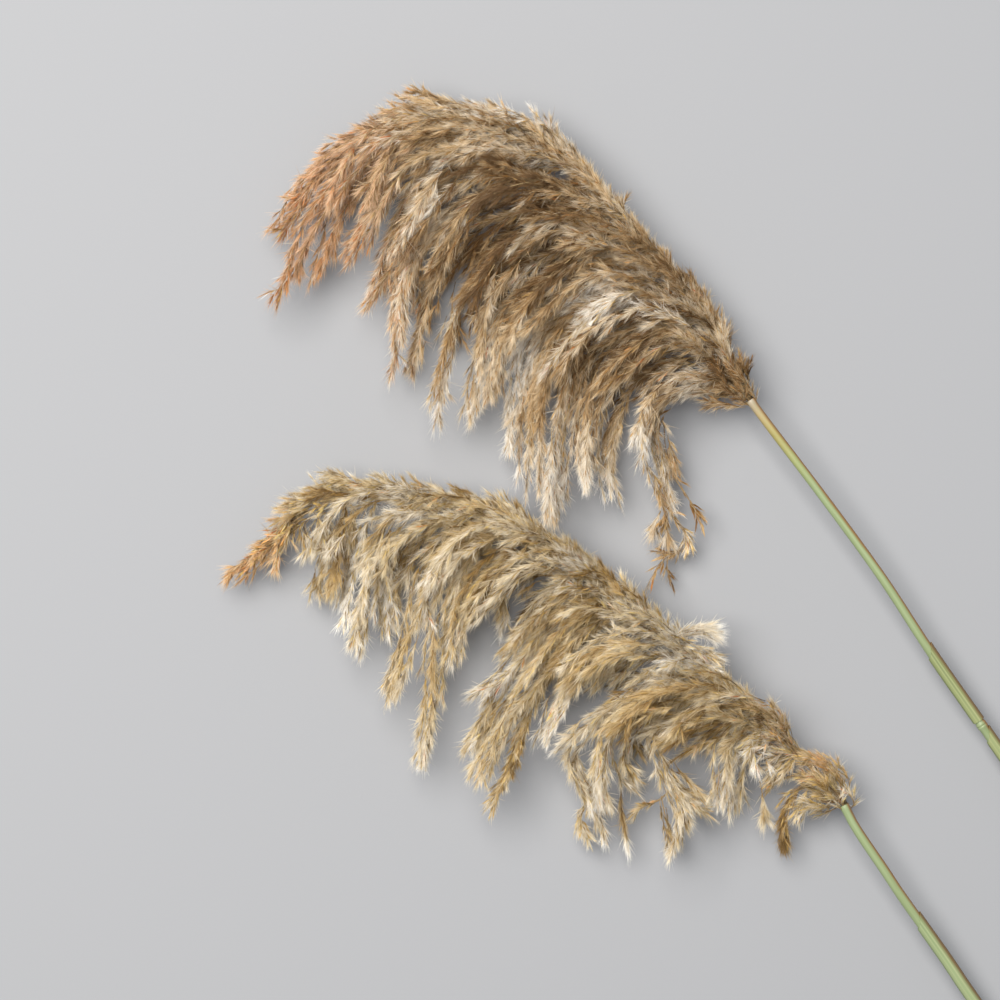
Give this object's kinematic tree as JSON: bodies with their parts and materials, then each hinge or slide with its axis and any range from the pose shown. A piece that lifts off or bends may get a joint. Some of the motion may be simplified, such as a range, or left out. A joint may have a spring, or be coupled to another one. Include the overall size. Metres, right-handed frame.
{
  "type": "bunch of reeds",
  "caption": "Bunch of cut, dried reeds lying side by side, with nodding one-sided feathery plumes on slender jointed culms with leaf sheaths.",
  "frame": {"origin": "on the surface that the bunch lies on, below the middle of its box", "axes": "+X to the right and +Y up in the picture, so that the plumes bow to -X and hang towards -Y; +Z up from the surface"},
  "size_m": [0.6932, 0.7424, 0.0844],
  "materials": {
    "culm": "dried green and straw reed stem, satin",
    "leaf_sheath": "dried olive leaf sheath with a brown edge, satin",
    "tan_down": "tan spikelets in soft pale down, matt",
    "straw_down": "straw-yellow spikelets in soft pale down, matt"
  },
  "bodies": {
    "root": {"reed_1_culm": "culm", "reed_1_upper_sheath": "leaf_sheath", "reed_1_lower_sheath": "leaf_sheath", "reed_1_plume": "tan_down", "reed_2_culm": "culm", "reed_2_sheath": "leaf_sheath", "reed_2_lowest_whorl": "straw_down", "reed_2_plume": "straw_down"}
  },
  "joints": []
}
